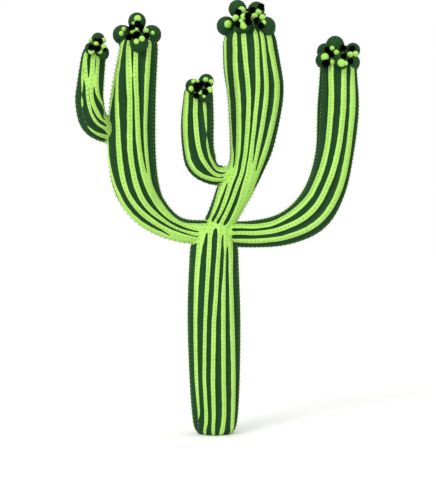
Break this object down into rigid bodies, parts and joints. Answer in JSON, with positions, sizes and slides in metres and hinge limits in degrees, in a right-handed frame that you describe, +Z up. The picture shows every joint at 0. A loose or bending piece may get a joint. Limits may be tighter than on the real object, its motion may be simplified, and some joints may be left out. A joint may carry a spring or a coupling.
{
  "type": "columnar cactus",
  "caption": "Tall ribbed columnar cactus with a leaning upper stem, upturned arms, small side arms and clusters of round buds on every tip, rooted in level ground.",
  "frame": {"origin": "middle of the flat cut under the trunk, at ground level", "axes": "+Z up along the trunk, -Y the front that the picture shows, +X to the viewer's right"},
  "size_m": [2.8409, 1.0483, 4.346],
  "materials": {
    "stem": "waxy green skin, pale rib crests and dark green furrows",
    "bud": "smooth dark green skin with pale green and dried black knobs"
  },
  "bodies": {
    "root": {"trunk": "stem", "upper_stem": "stem", "left_arm_elbow": "stem", "left_arm": "stem", "right_arm_elbow": "stem", "right_arm": "stem", "small_left_arm_elbow": "stem", "small_left_arm": "stem", "small_centre_arm_elbow": "stem", "small_centre_arm": "stem", "upper_stem_bud_1": "bud", "upper_stem_bud_2": "bud", "upper_stem_bud_3": "bud", "upper_stem_bud_4": "bud", "upper_stem_bud_5": "bud", "upper_stem_bud_6": "bud", "upper_stem_bud_7": "bud", "upper_stem_bud_8": "bud", "left_arm_bud_1": "bud", "left_arm_bud_2": "bud", "left_arm_bud_3": "bud", "left_arm_bud_4": "bud", "left_arm_bud_5": "bud", "left_arm_bud_6": "bud", "right_arm_bud_1": "bud", "right_arm_bud_2": "bud", "right_arm_bud_3": "bud", "right_arm_bud_4": "bud", "right_arm_bud_5": "bud", "right_arm_bud_6": "bud", "right_arm_bud_7": "bud", "small_left_arm_bud_1": "bud", "small_left_arm_bud_2": "bud", "small_left_arm_bud_3": "bud", "small_left_arm_bud_4": "bud", "small_centre_arm_bud_1": "bud", "small_centre_arm_bud_2": "bud", "small_centre_arm_bud_3": "bud", "small_centre_arm_bud_4": "bud", "small_centre_arm_bud_5": "bud"}
  },
  "joints": []
}
